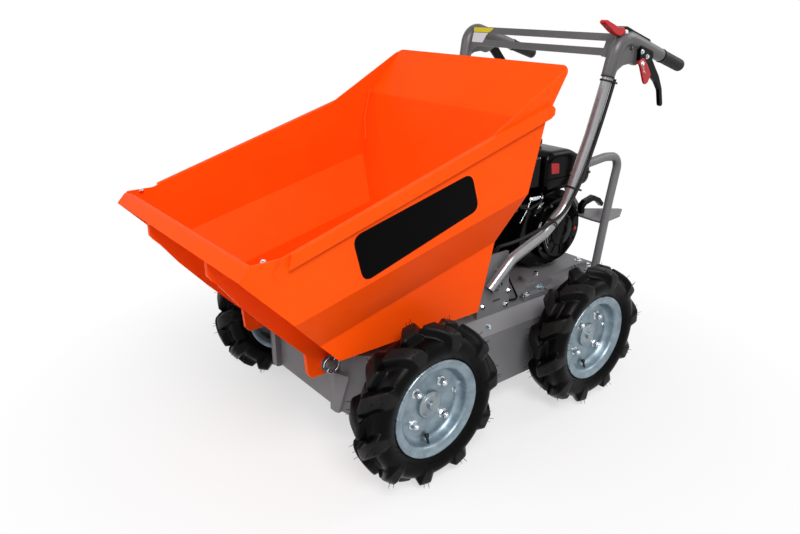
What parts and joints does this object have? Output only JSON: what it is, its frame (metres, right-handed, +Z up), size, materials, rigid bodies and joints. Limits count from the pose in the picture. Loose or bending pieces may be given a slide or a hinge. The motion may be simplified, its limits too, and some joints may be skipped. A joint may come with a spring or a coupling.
{
  "type": "site dumper",
  "caption": "Walk-behind four-wheel site dumper: front-tipping flared steel hopper on a boxed chassis, open engine behind, two handles with levers.",
  "frame": {"origin": "on the ground, under the middle of the machine's length and width", "axes": "+X forward, +Y to the operator's left, +Z up"},
  "size_m": [1.4265, 0.773, 1.029],
  "materials": {
    "orange_paint": "glossy orange paint",
    "grey_paint": "satin dark grey paint",
    "black_paint": "glossy black",
    "galvanised": "galvanised",
    "hub_steel": "zinc plated",
    "tyre_rubber": "black rubber",
    "black_rubber": "soft black rubber",
    "grey_plastic": "moulded dark grey",
    "red_plastic": "glossy red"
  },
  "bodies": {
    "chassis": {"air_cleaner": "black_paint", "axle_housings": "grey_paint", "chassis_box": "grey_paint", "clutch_lever_left": "black_paint", "clutch_lever_right": "black_paint", "control_cable": "black_paint", "crossbar_strips": "grey_paint", "cylinder_head": "black_paint", "drive_lever": "black_paint", "engine_block": "black_paint", "engine_deck": "grey_paint", "fuel_tank": "black_paint", "gate_plate": "grey_paint", "gear_lever": "black_paint", "guard_hoop_left": "grey_paint", "guard_hoop_right": "grey_paint", "handle_bracket_left": "grey_paint", "handle_bracket_right": "grey_paint", "handle_grip_left": "black_rubber", "handle_grip_right": "black_rubber", "handle_shroud_left": "grey_plastic", "handle_shroud_right": "grey_plastic", "handle_tube_left": "grey_paint", "handle_tube_right": "grey_paint", "hopper_rests": "black_rubber", "muffler": "black_paint", "pivot_bar": "grey_paint", "pivot_posts": "grey_paint", "recoil_cover": "black_paint", "red_catch": "red_plastic", "tank_stays": "black_paint"},
    "hopper": {"hopper_rib_left": "orange_paint", "hopper_rib_right": "orange_paint", "hopper_shell": "orange_paint"},
    "wheel_front_left": {"hub_front_left": "hub_steel", "rim_front_left": "galvanised", "tyre_front_left": "tyre_rubber"},
    "wheel_front_right": {"hub_front_right": "hub_steel", "rim_front_right": "galvanised", "tyre_front_right": "tyre_rubber"},
    "wheel_rear_left": {"hub_rear_left": "hub_steel", "rim_rear_left": "galvanised", "tyre_rear_left": "tyre_rubber"},
    "wheel_rear_right": {"hub_rear_right": "hub_steel", "rim_rear_right": "galvanised", "tyre_rear_right": "tyre_rubber"}
  },
  "joints": [
    {"name": "hopper_tip", "type": "hinge", "parent": "chassis", "child": "hopper", "pos_m": [0.441, 0, 0.281], "axis": [0, 1, 0], "range_deg": [0, 75]},
    {"name": "wheel_front_left_spin", "type": "hinge", "parent": "chassis", "child": "wheel_front_left", "pos_m": [0.286, 0.336, 0.2], "axis": [0, 1, 0], "continuous": true},
    {"name": "wheel_front_right_spin", "type": "hinge", "parent": "chassis", "child": "wheel_front_right", "pos_m": [0.286, -0.336, 0.2], "axis": [0, 1, 0], "continuous": true},
    {"name": "wheel_rear_left_spin", "type": "hinge", "parent": "chassis", "child": "wheel_rear_left", "pos_m": [-0.303, 0.336, 0.2], "axis": [0, 1, 0], "continuous": true},
    {"name": "wheel_rear_right_spin", "type": "hinge", "parent": "chassis", "child": "wheel_rear_right", "pos_m": [-0.303, -0.336, 0.2], "axis": [0, 1, 0], "continuous": true}
  ]
}
